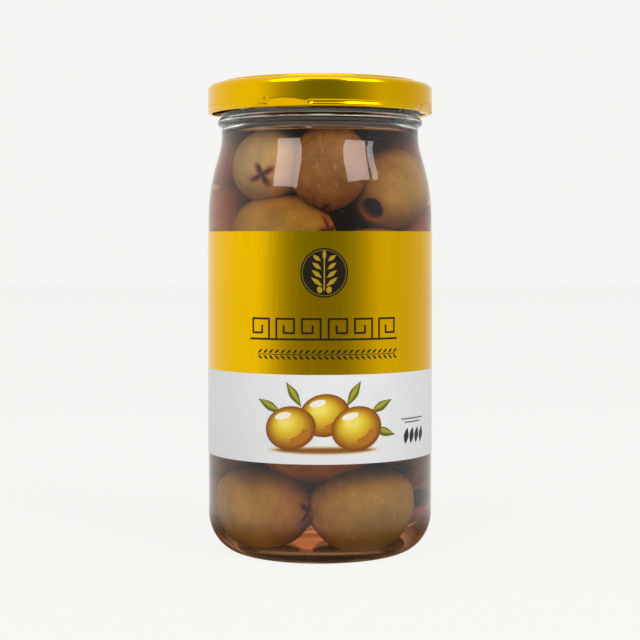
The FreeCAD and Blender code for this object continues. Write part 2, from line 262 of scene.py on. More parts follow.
def shoulder(inset):
    """The S-shaped sweep from the body to the neck: one wide arc out, one tighter arc in."""
    turn = math.degrees(math.atan2(4.0, 13.1))
    wide, tight = 57 * MM - inset, 18.3 * MM + inset
    outward = arc((BODY - inset - wide, SHOULDER_FOOT), (wide, wide), 0, turn, 14)
    inward = arc((NECK - inset + tight, SHOULDER_TOP), (tight, tight), 180 + turn, 180, 8)
    return outward + inward


def turned(name, outline, around=AROUND):
    """Turns a closed outline about the jar's axis. It runs from the axis back to the axis."""
    bpy.ops.object.select_all(action="DESELECT")
    first = outline[1]
    bpy.ops.mesh.primitive_circle_add(vertices=around, radius=first[0], location=(0, 0, first[1]))
    piece = bpy.context.object
    piece.name = piece.data.name = name
    bpy.ops.object.transform_apply(location=True, rotation=True, scale=True)
    bpy.ops.object.mode_set(mode="EDIT")
    bpy.ops.mesh.select_all(action="SELECT")
    bpy.ops.mesh.extrude_edges_move(TRANSFORM_OT_translate={"value": (0, 0, 0)})
    bpy.ops.mesh.merge(type="CENTER")
    bpy.ops.transform.translate(value=(0, 0, outline[0][1] - first[1]))
    bpy.ops.mesh.select_all(action="DESELECT")
    bpy.ops.object.mode_set(mode="OBJECT")
    for vertex in piece.data.vertices:
        vertex.select = math.hypot(vertex.co.x, vertex.co.y) > first[0] / 2
    bpy.ops.object.mode_set(mode="EDIT")
    bpy.context.tool_settings.mesh_select_mode = (True, False, False)
    before = first
    for radius, height in outline[2:-1]:
        bpy.ops.mesh.extrude_edges_move(
            TRANSFORM_OT_translate={"value": (0, 0, height - before[1])})
        share = radius / before[0]
        bpy.ops.transform.resize(value=(share, share, 1), center_override=(0, 0, height))
        before = (radius, height)
    bpy.ops.mesh.extrude_edges_move(
        TRANSFORM_OT_translate={"value": (0, 0, outline[-1][1] - before[1])})
    bpy.ops.mesh.merge(type="CENTER")
    bpy.ops.mesh.select_all(action="SELECT")
    bpy.ops.mesh.normals_make_consistent(inside=False)
    bpy.ops.object.mode_set(mode="OBJECT")
    bpy.ops.object.shade_smooth()
    return piece


def jar_outline():
    """Outside from the push-up to the rim, then down the inside to the floor."""
    bearing = BODY - HEEL_WIDE
    outside = [(0, 1.9 * MM), (6 * MM, 1.85 * MM), (12 * MM, 1.7 * MM), (17 * MM, 1.3 * MM)]
    outside += [(19.4 * MM, 0.75 * MM), (20.8 * MM, 0.2 * MM), (21.6 * MM, 0)]
    outside += arc((bearing, HEEL_TALL), (HEEL_WIDE, HEEL_TALL), -90, 0, 20)
    outside += [(BODY, 29 * MM), (BODY, 62 * MM), (BODY, 95 * MM)]
    outside += shoulder(0)
    outside += arc((NECK, BEAD_HEIGHT), (BEAD_REACH, 1.35 * MM), -90, 90, 10)
    outside += [(FINISH, BEAD_HEIGHT + 1.7 * MM)]
    outside += [(FINISH, row * MM) for row in np.arange(THREAD_FOOT, THREAD_TOP, THREAD_ROW)]
    crest = 0.8 * MM
    outside += arc((FINISH - crest, RIM - crest), (crest, crest), 0, 90, 5)
    bore = NECK - WALL
    inside = arc((bore + crest, RIM - crest), (crest, crest), 90, 180, 5)
    inside += [(bore, 130 * MM), (bore, 126 * MM)]
    inside += [point for point in reversed(shoulder(WALL))]
    inner = BODY - WALL
    inside += [(inner, 95 * MM), (inner, 62 * MM), (inner, 29 * MM)]
    inner_wide, inner_tall = HEEL_WIDE - 1.2 * MM, HEEL_TALL - 3.2 * MM
    inside += arc((inner - inner_wide, FLOOR + inner_tall), (inner_wide, inner_tall), 0, -90, 16)
    inside += [(16 * MM, FLOOR + 0.15 * MM), (8 * MM, FLOOR + 0.5 * MM), (0, FLOOR + 0.6 * MM)]
    return outside + inside


def raise_threads(piece):
    """Four threads, each a low ridge that climbs as it goes round and fades at its ends."""
    half_span = math.radians(34)
    for vertex in piece.data.vertices:
        x, y, z = vertex.co
        radius = math.hypot(x, y)
        if radius < FINISH - 0.5 * MM or z < 129 * MM or z > RIM - 1.2 * MM:
            continue
        turn = (math.atan2(y, x) - math.radians(40)) % (math.pi / 2)
        along = (turn - math.pi / 4) / half_span
        if abs(along) > 1:
            continue
        middle = THREAD_MIDDLE + THREAD_CLIMB * along / 2
        across = abs(z - middle) / THREAD_HALF
        if across > 1.6:
            continue
        rise = THREAD_REACH * min(1, 1.7 - across)
        fade = min(1, (1 - abs(along)) * 6)
        grown = (radius + max(0, rise) * fade) / radius
        vertex.co.x *= grown
        vertex.co.y *= grown


def lets_light_in(tree, shell, tint):
    """Lamps shine straight through a clear wall, which lights what lies behind it."""
    path = add(tree, "ShaderNodeLightPath")
    straight = add(tree, "ShaderNodeBsdfTransparent", {"Color": linear(tint)})
    return add(tree, "ShaderNodeMixShader", {0: path.outputs["Is Shadow Ray"],
                                             1: shell.outputs[0],
                                             2: straight.outputs[0]}).outputs[0]


def clear_flint_glass(name, mirror):
    """Soda-lime glass, almost colourless. Where it is wet inside it hardly mirrors at all."""
    made, tree, out = material(name)
    shell = add(tree, "ShaderNodeBsdfPrincipled", {
        "Base Color": linear("F8FBF8"), "Roughness": 0.0, "IOR": 1.52,
        "Transmission Weight": 1.0, "Specular Tint": (mirror, mirror, mirror, 1)})
    tree.links.new(lets_light_in(tree, shell, "F4F7F4"), out.inputs["Surface"])
    return made


jar = turned("glass_jar_blown", jar_outline())
raise_threads(jar)
jar.data.materials.append(clear_flint_glass("clear flint glass, fire polished", 1.0))
jar.data.materials.append(clear_flint_glass("clear flint glass, wet inside", 0.0))
for face in jar.data.polygons:
    inwards = face.normal.xy.dot(face.center.xy) < 0 or face.normal.z > 0.6
    face.material_index = int(inwards and 4 * MM < face.center.z < RIM - 2 * MM)
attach(jar, "root")
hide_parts("glass_jar")


# ---------------------------------------------------------------------------------------------
# Brine. Salt water coloured by the olives, a clear amber that turns orange where it is deep. It
# fills the jar into the neck and creeps a little up the glass at its edge.
BRINE_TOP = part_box("brine")[1].z
BRINE_CREEP = 1.3 * MM
BRINE_TINT, BRINE_STRENGTH = (0.896, 0.404, 0.05, 1), 50.0
INTO_WALL = 0.12 * MM


def brine_outline():
    """From the floor up the wall, a little way into it, and over the curved edge to the axis."""
    inset = WALL - INTO_WALL
    inner = BODY - inset
    low_wide, low_tall = HEEL_WIDE - 1.2 * MM, HEEL_TALL - 3.2 * MM
    floor = FLOOR - INTO_WALL
    points = [(0, FLOOR + 0.48 * MM), (8 * MM, FLOOR + 0.38 * MM), (16 * MM, FLOOR + 0.03 * MM)]
    points += arc((inner - low_wide, floor + low_tall), (low_wide, low_tall), -90, 0, 16)
    points += [(inner, 62 * MM), (inner, 95 * MM)]
    points += shoulder(inset)[:-1]
    bore = NECK - inset
    points += [(bore, BRINE_TOP + BRINE_CREEP * 0.5)]
    edge = (NECK - WALL - BRINE_CREEP, BRINE_TOP + BRINE_CREEP)
    points += arc(edge, (BRINE_CREEP, BRINE_CREEP), 0, -90, 6)
    points += [(18 * MM, BRINE_TOP), (9 * MM, BRINE_TOP), (0, BRINE_TOP)]
    return points


def amber_brine():
    """Olive brine: clear, with blue taken off fast by depth and green more slowly."""
    made, tree, out = material("clear amber brine")
    liquid = add(tree, "ShaderNodeBsdfPrincipled", {
        "Base Color": linear("FFFCF6"), "Roughness": 0.0, "IOR": 1.345,
        "Transmission Weight": 1.0, "Specular Tint": (0, 0, 0, 1)})
    depth = add(tree, "ShaderNodeVolumeAbsorption", {"Color": BRINE_TINT,
                                                     "Density": BRINE_STRENGTH})
    tree.links.new(lets_light_in(tree, liquid, "FFF4E0"), out.inputs["Surface"])
    tree.links.new(depth.outputs[0], out.inputs["Volume"])
    return made


brine = turned("brine_liquid", brine_outline(), 128)
brine.data.materials.append(amber_brine())
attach(brine, "root")
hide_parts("brine")


# ---------------------------------------------------------------------------------------------
# Olives. Large green olives, cured to tan, with the stone pushed out: a round hole at one end
# and the cross cut of the coring pin at the other. They lie as they fell, the ones at the glass
# placed one by one, the rest settled round them.
OLIVE_LENGTH = 28.5 * MM
OLIVE_WIDTH = 22.8 * MM
HOLE_RADIUS = 3.3 * MM
CROSS_REACH, CROSS_WIDE, CROSS_DEEP = 4.3 * MM, 0.85 * MM, 0.9 * MM
LUMPS = 0.05
SEED = 7

# Olives placed one by one: way round the jar from the front, radius, height, the way that the end
# with the hole points (right, back, up), and size against the usual one.
SHOWN = [
    (-45, 17.1, 113.4, (0.29, 0.92, 0.27), 0.91),
    (7, 18.8, 112.4, (0.12, 0.25, 0.96), 0.88),
    (70, 17.9, 106.0, (-0.29, -0.86, -0.43), 0.92),
    (-32, 18.2, 93.2, (-0.86, 0.50, -0.10), 0.99),
    (44, 18.4, 84.0, (0.74, 0.66, 0.10), 1.0),
    (-51, 18.2, 15.6, (-0.84, 0.54, 0.06), 0.98),
    (36, 18.2, 15.6, (0.90, 0.42, 0.10), 1.0),
    (-6, 11.8, 33.0, (0.92, 0.10, -0.15), 1.0),
    (100, 17.8, 31.0, (0.15, -0.80, -0.45), 0.98),
    (139, 17.4, 115.4, (-0.60, 0.72, 0.35), 0.90),
    (-108, 18.6, 93.5, (0.10, 0.25, 0.96), 0.95),
    (-140, 17.2, 115.4, (0.42, 0.50, 0.76), 0.90),
    (118, 18.4, 92.0, (-0.40, 0.88, 0.20), 0.96),
]
# Olives whose cross cut keeps its dent, without the cut's redder colour or its painted shade.
CUTS_LEFT_UNCOLOURED = (6, 11)
# Tans of the skin, given to the olives in turn. The eighth is made lighter, painted light on an
# olive that lies deep, in the shade of others. Then the least painted light, the darkest painted
# shade, left in the middle of the jar.
TONES = ["B68F5C", "956233", "AE8A42", "A27B27", "9C7428", "B08439", "A27B36", "D8882A", "966628",
         "9C6C2C", "A67638"]
DEEPEST_PAINTED_LIGHT = 0.16
# Where the others start before they settle: way round, radius and height.
STARTS = [
    (98, 19, 15), (-116, 19, 15), (-84, 19, 35), (176, 19, 36), (28, 19, 54), (-40, 19, 55),
    (104, 19, 54), (-112, 19, 58), (172, 19, 60), (-6, 19, 74), (-68, 19, 76), (78, 19, 70),
    (142, 19, 78), (-140, 19, 80), (178, 19, 96), (0, 2, 50), (0, 2, 76), (0, 0, 98),
]


def olive_blank():
    """One olive along Z, its hole at the top and the cross cut at the bottom."""
    bpy.ops.object.select_all(action="DESELECT")
    bpy.ops.mesh.primitive_uv_sphere_add(segments=40, ring_count=28, radius=OLIVE_WIDTH / 2)
    olive = bpy.context.object
    for vertex in olive.data.vertices:
        along = vertex.co.z / (OLIVE_WIDTH / 2)
        vertex.co.z *= OLIVE_LENGTH / OLIVE_WIDTH
        swell = 1 + 0.05 * (1 - along ** 2) * along ** 2 * 4
        vertex.co.x *= swell
        vertex.co.y *= swell
    bpy.ops.object.mode_set(mode="EDIT")
    bpy.ops.mesh.select_all(action="DESELECT")
    bpy.context.tool_settings.mesh_select_mode = (False, False, True)
    bpy.ops.object.mode_set(mode="OBJECT")
    for face in olive.data.polygons:
        face.select = face.center.z > 0 and math.hypot(*face.center[:2]) < HOLE_RADIUS
    bpy.ops.object.mode_set(mode="EDIT")
    steps = ((0.86, -0.35), (0.93, -1.0), (1.0, -3.0), (1.1, -5.0), (1.0, -5.0), (0.75, -2.0))
    for share, drop in steps:
        bpy.ops.mesh.extrude_region_move(TRANSFORM_OT_translate={"value": (0, 0, drop * MM)})
        bpy.ops.transform.resize(value=(share, share, 0.6 if drop == -0.35 else 1))
    bpy.ops.object.mode_set(mode="OBJECT")
    return olive


def dent_cross(olive):
    """Presses the pin's cross cut into the lower end and marks how deep each point lies."""
    depth = olive.data.attributes.new("cut", "FLOAT", "POINT")
    for index, vertex in enumerate(olive.data.vertices):
        x, y, z = vertex.co
        inside_hole = z > 0 and math.hypot(x, y) < HOLE_RADIUS * 1.02
        level = 0.0
        if z < -0.3 * OLIVE_LENGTH:
            for one, other in ((x + y, x - y), (x - y, x + y)):
                along, across = abs(one) / math.sqrt(2), abs(other) / math.sqrt(2)
                ridge = math.exp(-(across / CROSS_WIDE) ** 2)
                level = max(level, ridge * min(1, max(0, (CROSS_REACH - along) / MM)))
        vertex.co.z += level * CROSS_DEEP
        if inside_hole:
            level = min(1, max(0, (OLIVE_LENGTH * 0.475 - z) / (3.5 * MM)))
        depth.data[index].value = level


def lumpy(point, seed):
    """Moves a point of an olive a little out or in: a slow unevenness of its flesh."""
    shift = noise.noise(point * 90 + Vector((seed * 7.3, seed * 3.1, seed)))
    return point * (1 + LUMPS * shift)


def beside_axis(around, radius, height):
    """A place in the jar, from the way round it in degrees and two sizes in millimetres."""
    turn = math.radians(around)
    return Vector((radius * math.sin(turn), -radius * math.cos(turn), height)) * MM


def settle(poses, starts):
    """Fills the rest of the jar: each olive is three balls in a row, pushed apart and down."""
    chance = random.Random(SEED)
    ball = OLIVE_WIDTH / 2 * np.array([0.86, 1.0, 0.86])
    half = OLIVE_LENGTH / 2 - ball[0]
    middles, ways = [p[0] for p in poses], [p[1] for p in poses]
    for around, radius, height in starts:
        middles.append(beside_axis(around, radius, height))
        ways.append(Vector([chance.uniform(-1, 1) for _ in range(3)]).normalized())
    middles, ways = np.array(middles), np.array(ways)
    count, held = len(middles), len(poses)
    sizes = np.tile(ball, count)
    owner = np.repeat(np.arange(count), 3)
    loose = np.repeat(np.arange(count) >= held, 3)
    for step in range(500):
        spots = (middles[:, None] + ways[:, None] * half * np.array([-1, 0, 1])[None, :, None])
        spots = spots.reshape(-1, 3)
        gap = spots[:, None] - spots[None]
        far = np.linalg.norm(gap, axis=2) + 1e-9
        short = sizes[:, None] + sizes[None] - far
        short[owner[:, None] == owner[None]] = 0
        push = np.clip(short, 0, None)
        weight = np.where(loose[None, :], 0.5, 1.0)
        move = (gap / far[..., None] * (push * weight)[..., None]).sum(1) * 0.5
        spots[loose] += move[loose]
        if step < 350:
            spots[loose, 2] -= 0.02 * MM
        radius = np.hypot(spots[:, 0], spots[:, 1]) + 1e-9
        inner = np.interp(spots[:, 2], [98 * MM, 108 * MM, 116 * MM, 122 * MM],
                          [30.4 * MM, 29.8 * MM, 28.2 * MM, 26.5 * MM]) - sizes
        over = np.clip(radius - inner, 0, None)
        spots[:, :2] -= spots[:, :2] / radius[:, None] * over[:, None] * loose[:, None]
        floor = FLOOR + 0.6 * MM + sizes
        roof = BRINE_TOP - sizes + 1.5 * MM
        spots[loose, 2] = np.clip(spots[loose, 2], floor[loose], roof[loose])
        spots = spots.reshape(-1, 3, 3)
        line = spots[:, 2] - spots[:, 0]
        ways = np.where((np.arange(count) >= held)[:, None],
                        line / np.linalg.norm(line, axis=1)[:, None], ways)
        middles = np.where((np.arange(count) >= held)[:, None], spots.mean(1), middles)
    return [(Vector(m), Vector(w)) for m, w in zip(middles, ways)]


def placed_by_hand():
    """Middle and direction of each olive in the list above."""
    return [(beside_axis(around, radius, height), Vector(way).normalized())
            for around, radius, height, way, size in SHOWN]


def cured_olive_flesh():
    """Skin of a lye-cured olive: tan to olive brown, finely mottled, redder in its cuts, and with
    painted shade near black deep in its hole and cross cut.
    """
    made, tree, out = material("cured green olive skin")
    where = add(tree, "ShaderNodeTexCoord").outputs["Object"]
    # Each olive's tan, with the painted shade of its depth in the jar.
    tone = add(tree, "ShaderNodeAttribute", attribute_name="tone").outputs["Color"]
    cut = add(tree, "ShaderNodeAttribute", attribute_name="cut").outputs["Fac"]
    cloud = add(tree, "ShaderNodeTexNoise", {"Vector": where, "Scale": 1 / (10 * MM),
                                             "Detail": 6.0, "Roughness": 0.62})
    freckle = add(tree, "ShaderNodeTexNoise", {"Vector": where, "Scale": 1 / (1.6 * MM),
                                               "Detail": 2.0, "Roughness": 0.5})
    patch = add(tree, "ShaderNodeMapRange", {"Value": cloud.outputs["Fac"], "From Min": 0.3,
                                             "From Max": 0.7})
    dark = add(tree, "ShaderNodeMix", {"Factor": patch.outputs[0], "A": (0.7, 0.68, 0.62, 1),
                                       "B": (1.28, 1.26, 1.2, 1)}, data_type="RGBA")
    skin = add(tree, "ShaderNodeMix", {"Factor": 1.0, "A": tone, "B": dark.outputs["Result"]},
               data_type="RGBA", blend_type="MULTIPLY")
    spots = add(tree, "ShaderNodeMapRange", {"Value": freckle.outputs["Fac"], "From Min": 0.6,
                                             "From Max": 0.72, "To Min": 0.0, "To Max": 0.25})
    spotted = add(tree, "ShaderNodeMix", {"Factor": spots.outputs[0],
                                          "A": skin.outputs["Result"],
                                          "B": linear("C9AE72")}, data_type="RGBA")
    # The edge of a cut takes the redder colour of cut flesh; its deepest parts take painted shade.
    edge = add(tree, "ShaderNodeMapRange", {"Value": cut, "From Max": 0.35})
    painted_hole_shade = add(tree, "ShaderNodeMapRange", {"Value": cut, "From Min": 0.3, "From Max": 0.9})
    rim = add(tree, "ShaderNodeMix", {"Factor": edge.outputs[0], "A": spotted.outputs["Result"],
                                      "B": linear("A05A28")}, data_type="RGBA")
    opened = add(tree, "ShaderNodeMix", {"Factor": painted_hole_shade.outputs[0], "A": rim.outputs["Result"],
                                         "B": linear("3A1A14")}, data_type="RGBA")
    bump = add(tree, "ShaderNodeBump", {"Height": freckle.outputs["Fac"], "Strength": 0.35,
                                        "Distance": 0.4 * MM})
    flesh = add(tree, "ShaderNodeBsdfPrincipled", {
        "Base Color": opened.outputs["Result"], "Roughness": 0.45, "Specular IOR Level": 0.12,
        "Normal": bump.outputs[0]})
    tree.links.new(flesh.outputs[0], out.inputs["Surface"])
    return made


def tan_olive_with_painted_shade(olive, index, middle, way):
    """Gives an olive its own tan, darkened as painted shade the deeper in the jar it lies, and may
    leave its cross cut uncoloured.
    """
    tone = olive.data.attributes.new("tone", "FLOAT_COLOR", "POINT")
    shade = linear(TONES[index % len(TONES)])
    if index in CUTS_LEFT_UNCOLOURED:
        for vertex, mark in zip(olive.data.vertices, olive.data.attributes["cut"].data):
            mark.value *= (vertex.co - middle).dot(way) > 0
    for vertex, spot in zip(olive.data.vertices, tone.data):
        # Painted shade: the nearer a point lies to the jar's axis, the darker its tan, blue most of
        # all.
        outward = vertex.co.xy.length / (BODY - WALL)
        painted_light_left = min(1, max(DEEPEST_PAINTED_LIGHT, (outward - 0.42) / 0.3))
        spot.color = (shade[0] * painted_light_left, shade[1] * painted_light_left ** 1.1, shade[2] * painted_light_left ** 1.3, 1)


def fill_with_olives():
    """Shapes one olive, copies it to every place in the jar and joins the copies."""
    blank = olive_blank()
    dent_cross(blank)
    poses = settle(placed_by_hand(), STARTS)
    made = []
    for index, (middle, way) in enumerate(poses):
        olive = bpy.data.objects.new(f"olive_{index}", blank.data.copy())
        bpy.context.scene.collection.objects.link(olive)
        size = SHOWN[index][4] if index < len(SHOWN) else 0.96 + 0.05 * math.sin(index * 1.7)
        spin = Matrix.Rotation(index * 1.1, 4, "Z")
        turn = Vector((0, 0, 1)).rotation_difference(way).to_matrix().to_4x4()
        place = Matrix.Translation(middle) @ turn @ spin
        for vertex in olive.data.vertices:
            vertex.co = place @ (lumpy(vertex.co, index + 1) * size)
        tan_olive_with_painted_shade(olive, index, middle, way)
        made.append(olive)
    bpy.data.objects.remove(blank)
    bpy.ops.object.select_all(action="DESELECT")
    for olive in made:
        olive.select_set(True)
    bpy.context.view_layer.objects.active = made[0]
    bpy.ops.object.join()
    heap = bpy.context.object
    heap.name = heap.data.name = "olives_pitted"
    bpy.ops.object.shade_smooth()
    return heap


olives = fill_with_olives()
olives.data.materials.append(cured_olive_flesh())
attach(olives, "root")
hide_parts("olives")


# ---------------------------------------------------------------------------------------------
# Lid. Tinplate with a gold lacquer, pressed: a rounded shoulder, a raised ring round a sunk
# panel with a low button, and an edge curled inwards, pressed in at four places into lugs that
# catch under the threads.
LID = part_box("lid")
LID_EDGE = 33.2 * MM
LID_FOOT = LID[0].z
DECK = 137.7 * MM
RING_TOP = LID[1].z
SHEET = 0.3 * MM
CURL = 0.65 * MM
LUG_TIP = 30.0 * MM
LUG_TURN = math.radians(-106)
LUG_HALF = math.radians(11)
ARCH_TALL, ARCH_SLOPE = 2.5 * MM, 0.5
CREASE_DEEP, CREASE_WIDE = 0.35 * MM, 0.2 * MM


def lid_outline():
    """The outside from the middle of the button to the curl, then back under the sheet."""
    panel, button = DECK - 0.5 * MM, DECK - 0.1 * MM
    top = [(0, button), (6 * MM, button - 0.02 * MM), (10 * MM, button - 0.08 * MM)]
    top += [(10.7 * MM, button - 0.2 * MM), (11.3 * MM, panel + 0.05 * MM), (12 * MM, panel)]
    top += [(18 * MM, panel), (24.6 * MM, panel), (25.3 * MM, panel + 0.15 * MM)]
    top += arc((26.5 * MM, RING_TOP - 0.7 * MM), (0.7 * MM, 0.7 * MM), 170, 90, 5)
    top += [(27.6 * MM, RING_TOP)]
    top += arc((28.7 * MM, RING_TOP - 0.7 * MM), (0.7 * MM, 0.7 * MM), 90, 10, 5)
    top += [(29.9 * MM, DECK + 0.04 * MM), (30.5 * MM, DECK)]
    side = LID_EDGE - 0.06 * MM
    top += arc((side - 1.7 * MM, DECK - 1.7 * MM), (1.7 * MM, 1.7 * MM), 85, 0, 9)
    top += [(side, z * MM) for z in np.arange(135.5, 130.9, -0.35)]
    curl = (LID_EDGE - CURL, LID_FOOT + CURL)
    top += [(side - 0.1 * MM, LID_FOOT + 1.75 * MM)]
    top += arc(curl, (CURL, CURL), 45, -270, 20)
    inner = side - SHEET
    under = [(inner - 0.35 * MM, LID_FOOT + 1.75 * MM), (inner, LID_FOOT + 2.4 * MM)]
    under += [(inner, 135 * MM)]
    under += arc((side - 1.7 * MM, DECK - 1.7 * MM), (1.4 * MM, 1.4 * MM), 0, 85, 6)
    under += [(29.6 * MM, DECK - SHEET), (29.0 * MM, RING_TOP - 0.7 * MM)]
    under += [(28.4 * MM, RING_TOP - SHEET), (26.8 * MM, RING_TOP - SHEET)]
    under += [(26.1 * MM, RING_TOP - 0.7 * MM), (25.0 * MM, panel - SHEET)]
    under += [(12 * MM, panel - SHEET), (10.6 * MM, button - SHEET), (0, button - SHEET)]
    return top + under


def press_lugs(lid):
    """Presses the foot of the skirt in at four places and pulls the curl in under it."""
    for vertex in lid.data.vertices:
        x, y, z = vertex.co
        radius = math.hypot(x, y)
        if radius < 31 * MM or z > 132.6 * MM:
            continue
        turn = (math.atan2(y, x) - LUG_TURN + math.pi / 4) % (math.pi / 2) - math.pi / 4
        past = turn / LUG_HALF
        arch = 1 - ((past + 0.25) / 1.75) ** 2 if past < 1 else 0
        line = LID_FOOT + ARCH_TALL * max(0, arch)
        pressed = ARCH_SLOPE * max(0, line - z)
        if abs(past) < 1 and radius < LID_EDGE - CURL:
            pressed = (radius - LUG_TIP) * min(1, (1 - abs(past)) * 5) * (z < 130.9 * MM)
        crease = math.exp(-((abs(past) - 1) * LUG_HALF * radius / CREASE_WIDE) ** 2)
        pressed += CREASE_DEEP * crease * min(1, max(0, 132.3 * MM - z) / (1.2 * MM))
        if abs(past) < 1 and radius > LID_EDGE - CURL and z > LID_FOOT + 0.35 * MM:
            flat = min(1, (1 - abs(past)) * 8)
            pressed += flat * (radius - LID_EDGE + 0.06 * MM)
        vertex.co.x *= (radius - pressed) / radius
        vertex.co.y *= (radius - pressed) / radius


def gold_lacquer():
    """Gold lacquer on tinplate: a clear yellow over bright metal, slightly orange-peeled."""
    made, tree, out = material("gold lacquer on pressed tinplate")
    where = add(tree, "ShaderNodeTexCoord").outputs["Object"]
    peel = add(tree, "ShaderNodeTexNoise", {"Vector": where, "Scale": 1 / (0.9 * MM),
                                            "Detail": 1.0})
    wear = add(tree, "ShaderNodeTexNoise", {"Vector": where, "Scale": 1 / (12 * MM),
                                            "Detail": 4.0})
    rough = add(tree, "ShaderNodeMapRange", {"Value": wear.outputs["Fac"], "To Min": 0.12,
                                             "To Max": 0.19})
    bump = add(tree, "ShaderNodeBump", {"Height": peel.outputs["Fac"], "Strength": 0.05,
                                        "Distance": 0.1 * MM})
    metal = add(tree, "ShaderNodeBsdfPrincipled", {
        "Base Color": linear("F0BC00"), "Metallic": 1.0, "Roughness": rough.outputs[0],
        "Normal": bump.outputs[0]})
    tree.links.new(metal.outputs[0], out.inputs["Surface"])
    return made


def inner_lacquer_with_painted_shade():
    """The inside of the tinplate: a matt golden-brown lacquer that withstands salt, made dark as
    painted shade inside the lid.
    """
    made, tree, out = material("brown inner lacquer on tinplate, darkened as painted shade")
    where = add(tree, "ShaderNodeTexCoord").outputs["Object"]
    cloud = add(tree, "ShaderNodeTexNoise", {"Vector": where, "Scale": 1 / (6 * MM)})
    # Painted shade: both browns are darker than the lacquer itself, for the shade under the lid.
    shade = add(tree, "ShaderNodeMix", {"Factor": cloud.outputs["Fac"], "A": linear("4E3616"),
                                        "B": linear("5E4620")}, data_type="RGBA")
    coat = add(tree, "ShaderNodeBsdfPrincipled", {"Base Color": shade.outputs["Result"],
                                                  "Roughness": 0.4})
    tree.links.new(coat.outputs[0], out.inputs["Surface"])
    return made


lid = turned("lid_pressed", lid_outline(), 384)
press_lugs(lid)
lid.data.materials.append(gold_lacquer())
lid.data.materials.append(inner_lacquer_with_painted_shade())
# The under side and inside of the lid take the darker lacquer, which is painted shade there.
for face in lid.data.polygons:
    inwards = face.normal.x * face.center.x + face.normal.y * face.center.y < 0
    under = face.normal.z < -0.5 or inwards
    face.material_index = int(under and face.center.z > LID_FOOT + 1.4 * MM
                              and face.center.xy.length < LID_EDGE - 0.2 * MM
                              and (face.normal.z < -0.5 or face.center.xy.length > 31 * MM))
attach(lid, "root")
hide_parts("lid")


# ---------------------------------------------------------------------------------------------
# Sealing ring. Soft plastisol, poured into the raised ring of the lid and cured there. The
# jar's rim presses into it.
SEAL_HEIGHT = RIM + 0.45 * MM
SEAL_THICK = 0.9 * MM
SEAL_FLAT = 0.45


def sealing_compound():
    """Plastisol: a soft, pale grey ring, poured in and cured."""
    made, tree, out = material("soft plastisol seal")
    where = add(tree, "ShaderNodeTexCoord").outputs["Object"]
    cloud = add(tree, "ShaderNodeTexNoise", {"Vector": where, "Scale": 1 / (5 * MM)})
    shade = add(tree, "ShaderNodeMix", {"Factor": cloud.outputs["Fac"], "A": linear("8E8878"),
                                        "B": linear("A09A8A")}, data_type="RGBA")
    soft = add(tree, "ShaderNodeBsdfPrincipled", {"Base Color": shade.outputs["Result"],
                                                  "Roughness": 0.5})
    tree.links.new(soft.outputs[0], out.inputs["Surface"])
    return made


def pour_seal():
    """A flattened ring over the middle of the rim."""
    bpy.ops.object.select_all(action="DESELECT")
    bpy.ops.mesh.primitive_torus_add(major_segments=160, minor_segments=24,
                                     major_radius=(NECK - WALL + FINISH) / 2,
                                     minor_radius=SEAL_THICK, location=(0, 0, SEAL_HEIGHT))
    ring = bpy.context.object
    ring.name = ring.data.name = "lid_lining_ring"
    bpy.ops.object.mode_set(mode="EDIT")
    bpy.ops.mesh.select_all(action="SELECT")
    bpy.ops.transform.resize(value=(1, 1, SEAL_FLAT), center_override=(0, 0, SEAL_HEIGHT))
    bpy.ops.object.mode_set(mode="OBJECT")
    bpy.ops.object.transform_apply(location=True, rotation=True, scale=True)
    bpy.ops.object.shade_smooth()
    return ring


lining = pour_seal()
lining.data.materials.append(sealing_compound())
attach(lining, "root")
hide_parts("lid")


# ---------------------------------------------------------------------------------------------
# Label. One strip of paper glued round the jar, its ends 8 mm apart at the back. Its upper part
# is gold foil, brushed upright; its lower part is coated white paper.
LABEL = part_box("label")
LABEL_FACE = LABEL[1].x
LABEL_THICK = 0.15 * MM
LABEL_GAP = 8 * MM
GOLD_FOOT = 54.5 * MM


def wrap(piece, radius):
    """Rolls a flat piece, drawn across and up with its lift in Z, round the jar's axis."""
    for vertex in piece.data.vertices:
        across, up, lift = vertex.co
        turn = across / radius
        reach = radius + lift
        vertex.co = (reach * math.sin(turn), -reach * math.cos(turn), up)


def brushed_foil():
    """Gold foil on paper. Its brushing is drawn coarser than it is, so that it shows."""
    made, tree, out = material("gold foil, brushed upright")
    where = add(tree, "ShaderNodeTexCoord").outputs["Object"]
    drawn = add(tree, "ShaderNodeMapping", {"Vector": where, "Scale": (1, 1, 0.03)})
    brush = add(tree, "ShaderNodeTexNoise", {"Vector": drawn.outputs[0], "Scale": 1 / (0.5 * MM),
                                             "Detail": 3.0, "Roughness": 0.6})
    tone = add(tree, "ShaderNodeMix", {"Factor": brush.outputs["Fac"], "A": linear("ECB400"),
                                       "B": linear("FFCC02")}, data_type="RGBA")
    rough = add(tree, "ShaderNodeMapRange", {"Value": brush.outputs["Fac"], "To Min": 0.12,
                                             "To Max": 0.18})
    foil = add(tree, "ShaderNodeBsdfPrincipled", {
        "Base Color": tone.outputs["Result"], "Metallic": 1.0, "Roughness": rough.outputs[0]})
    tree.links.new(foil.outputs[0], out.inputs["Surface"])
    return made


def coated_paper():
    """White coated label paper with a thin varnish, very slightly cloudy."""
    made, tree, out = material("white coated label paper")
    where = add(tree, "ShaderNodeTexCoord").outputs["Object"]
    cloud = add(tree, "ShaderNodeTexNoise", {"Vector": where, "Scale": 1 / (3 * MM),
                                             "Detail": 3.0})
    tone = add(tree, "ShaderNodeMix", {"Factor": cloud.outputs["Fac"], "A": linear("E2E8ED"),
                                       "B": linear("ECF0F3")}, data_type="RGBA")
    paper = add(tree, "ShaderNodeBsdfPrincipled", {"Base Color": tone.outputs["Result"],
                                                   "Roughness": 0.4, "Coat Weight": 0.25,
                                                   "Coat Roughness": 0.15})
    tree.links.new(paper.outputs[0], out.inputs["Surface"])
    return made


